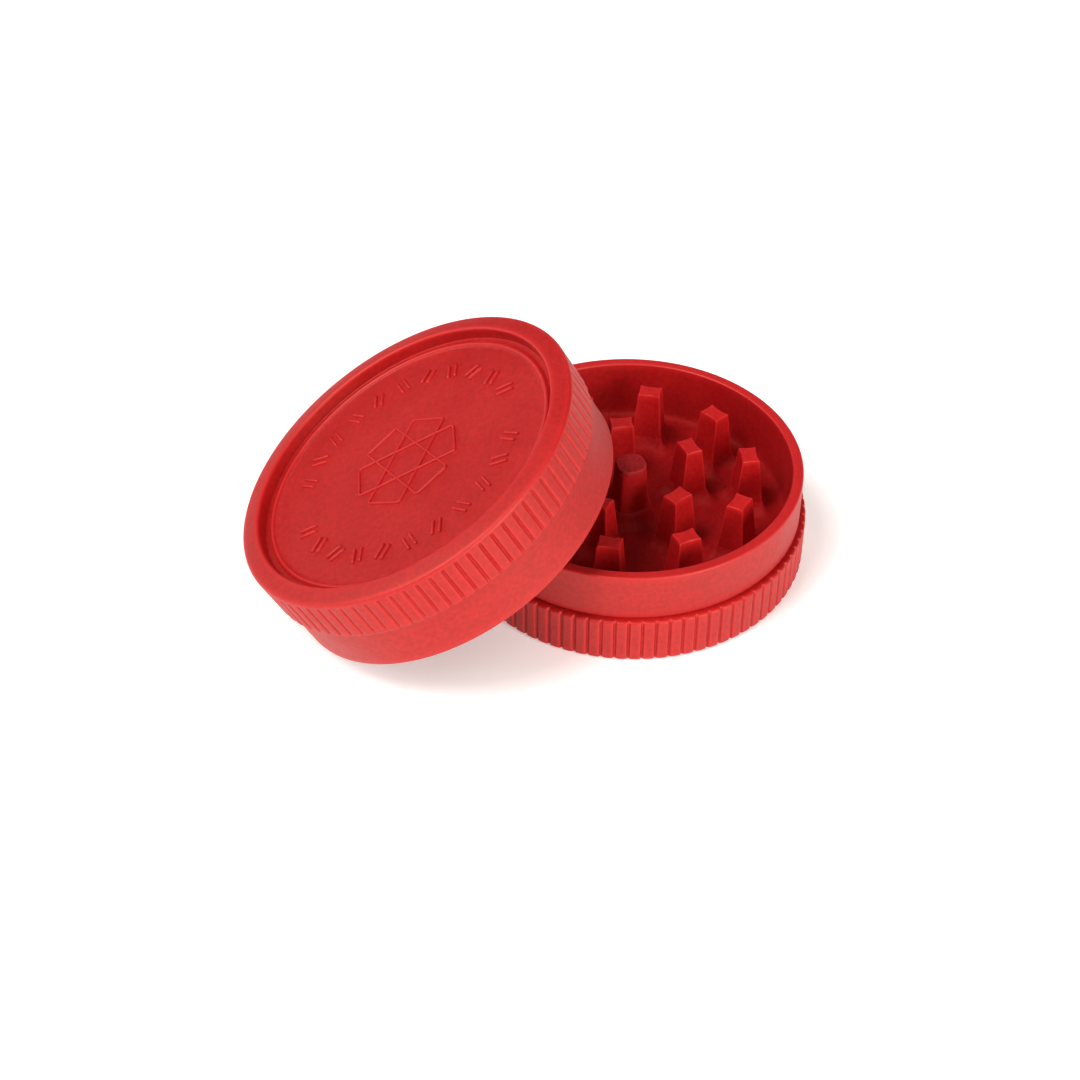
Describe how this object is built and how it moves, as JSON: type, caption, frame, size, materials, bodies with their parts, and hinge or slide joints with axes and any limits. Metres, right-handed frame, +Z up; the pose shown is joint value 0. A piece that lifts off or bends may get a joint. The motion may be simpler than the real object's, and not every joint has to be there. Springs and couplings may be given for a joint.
{
  "type": "herb grinder",
  "caption": "Round two-piece hand grinder in matte plastic: a toothed base standing upright and its ribbed lid lying tilted beside it, mouth down.",
  "frame": {"origin": "centre of the base's flat underside, on the floor", "axes": "+Z up along the base's axis; the lid lies towards -X; -Y faces the viewer"},
  "size_m": [0.085, 0.0651, 0.0389],
  "materials": {
    "base_plastic": "matte moulded plastic with a fine grain",
    "lid_plastic": "matte moulded plastic with a fine grain",
    "cap": "dull, slightly rough plastic",
    "magnet": "plated disc magnet"
  },
  "bodies": {
    "base": {"base_floor": "base_plastic", "base_grip_band": "base_plastic", "base_collar": "base_plastic", "base_outer_teeth": "base_plastic", "base_inner_teeth": "base_plastic", "base_centre_post": "base_plastic", "base_magnet": "magnet", "base_magnet_cap": "cap"},
    "lid_core": {"lid_magnet": "magnet", "lid_magnet_cap": "cap"},
    "lid": {"lid_plate": "lid_plastic", "lid_rim": "lid_plastic", "lid_grip_band": "lid_plastic", "lid_skirt": "lid_plastic", "lid_outer_teeth": "lid_plastic", "lid_inner_teeth": "lid_plastic", "lid_centre_boss": "lid_plastic", "lid_relief": "lid_plastic"}
  },
  "joints": [
    {"name": "lid_lift", "type": "slide", "parent": "base", "child": "lid_core", "axis": [0, 0, 1], "range_m": [0, 0.06]},
    {"name": "lid_turn", "type": "hinge", "parent": "lid_core", "child": "lid", "pos_m": [-0.0269, -0.0099, 0.01292], "axis": [-0.479, -0.0343, 0.8771], "continuous": true}
  ]
}
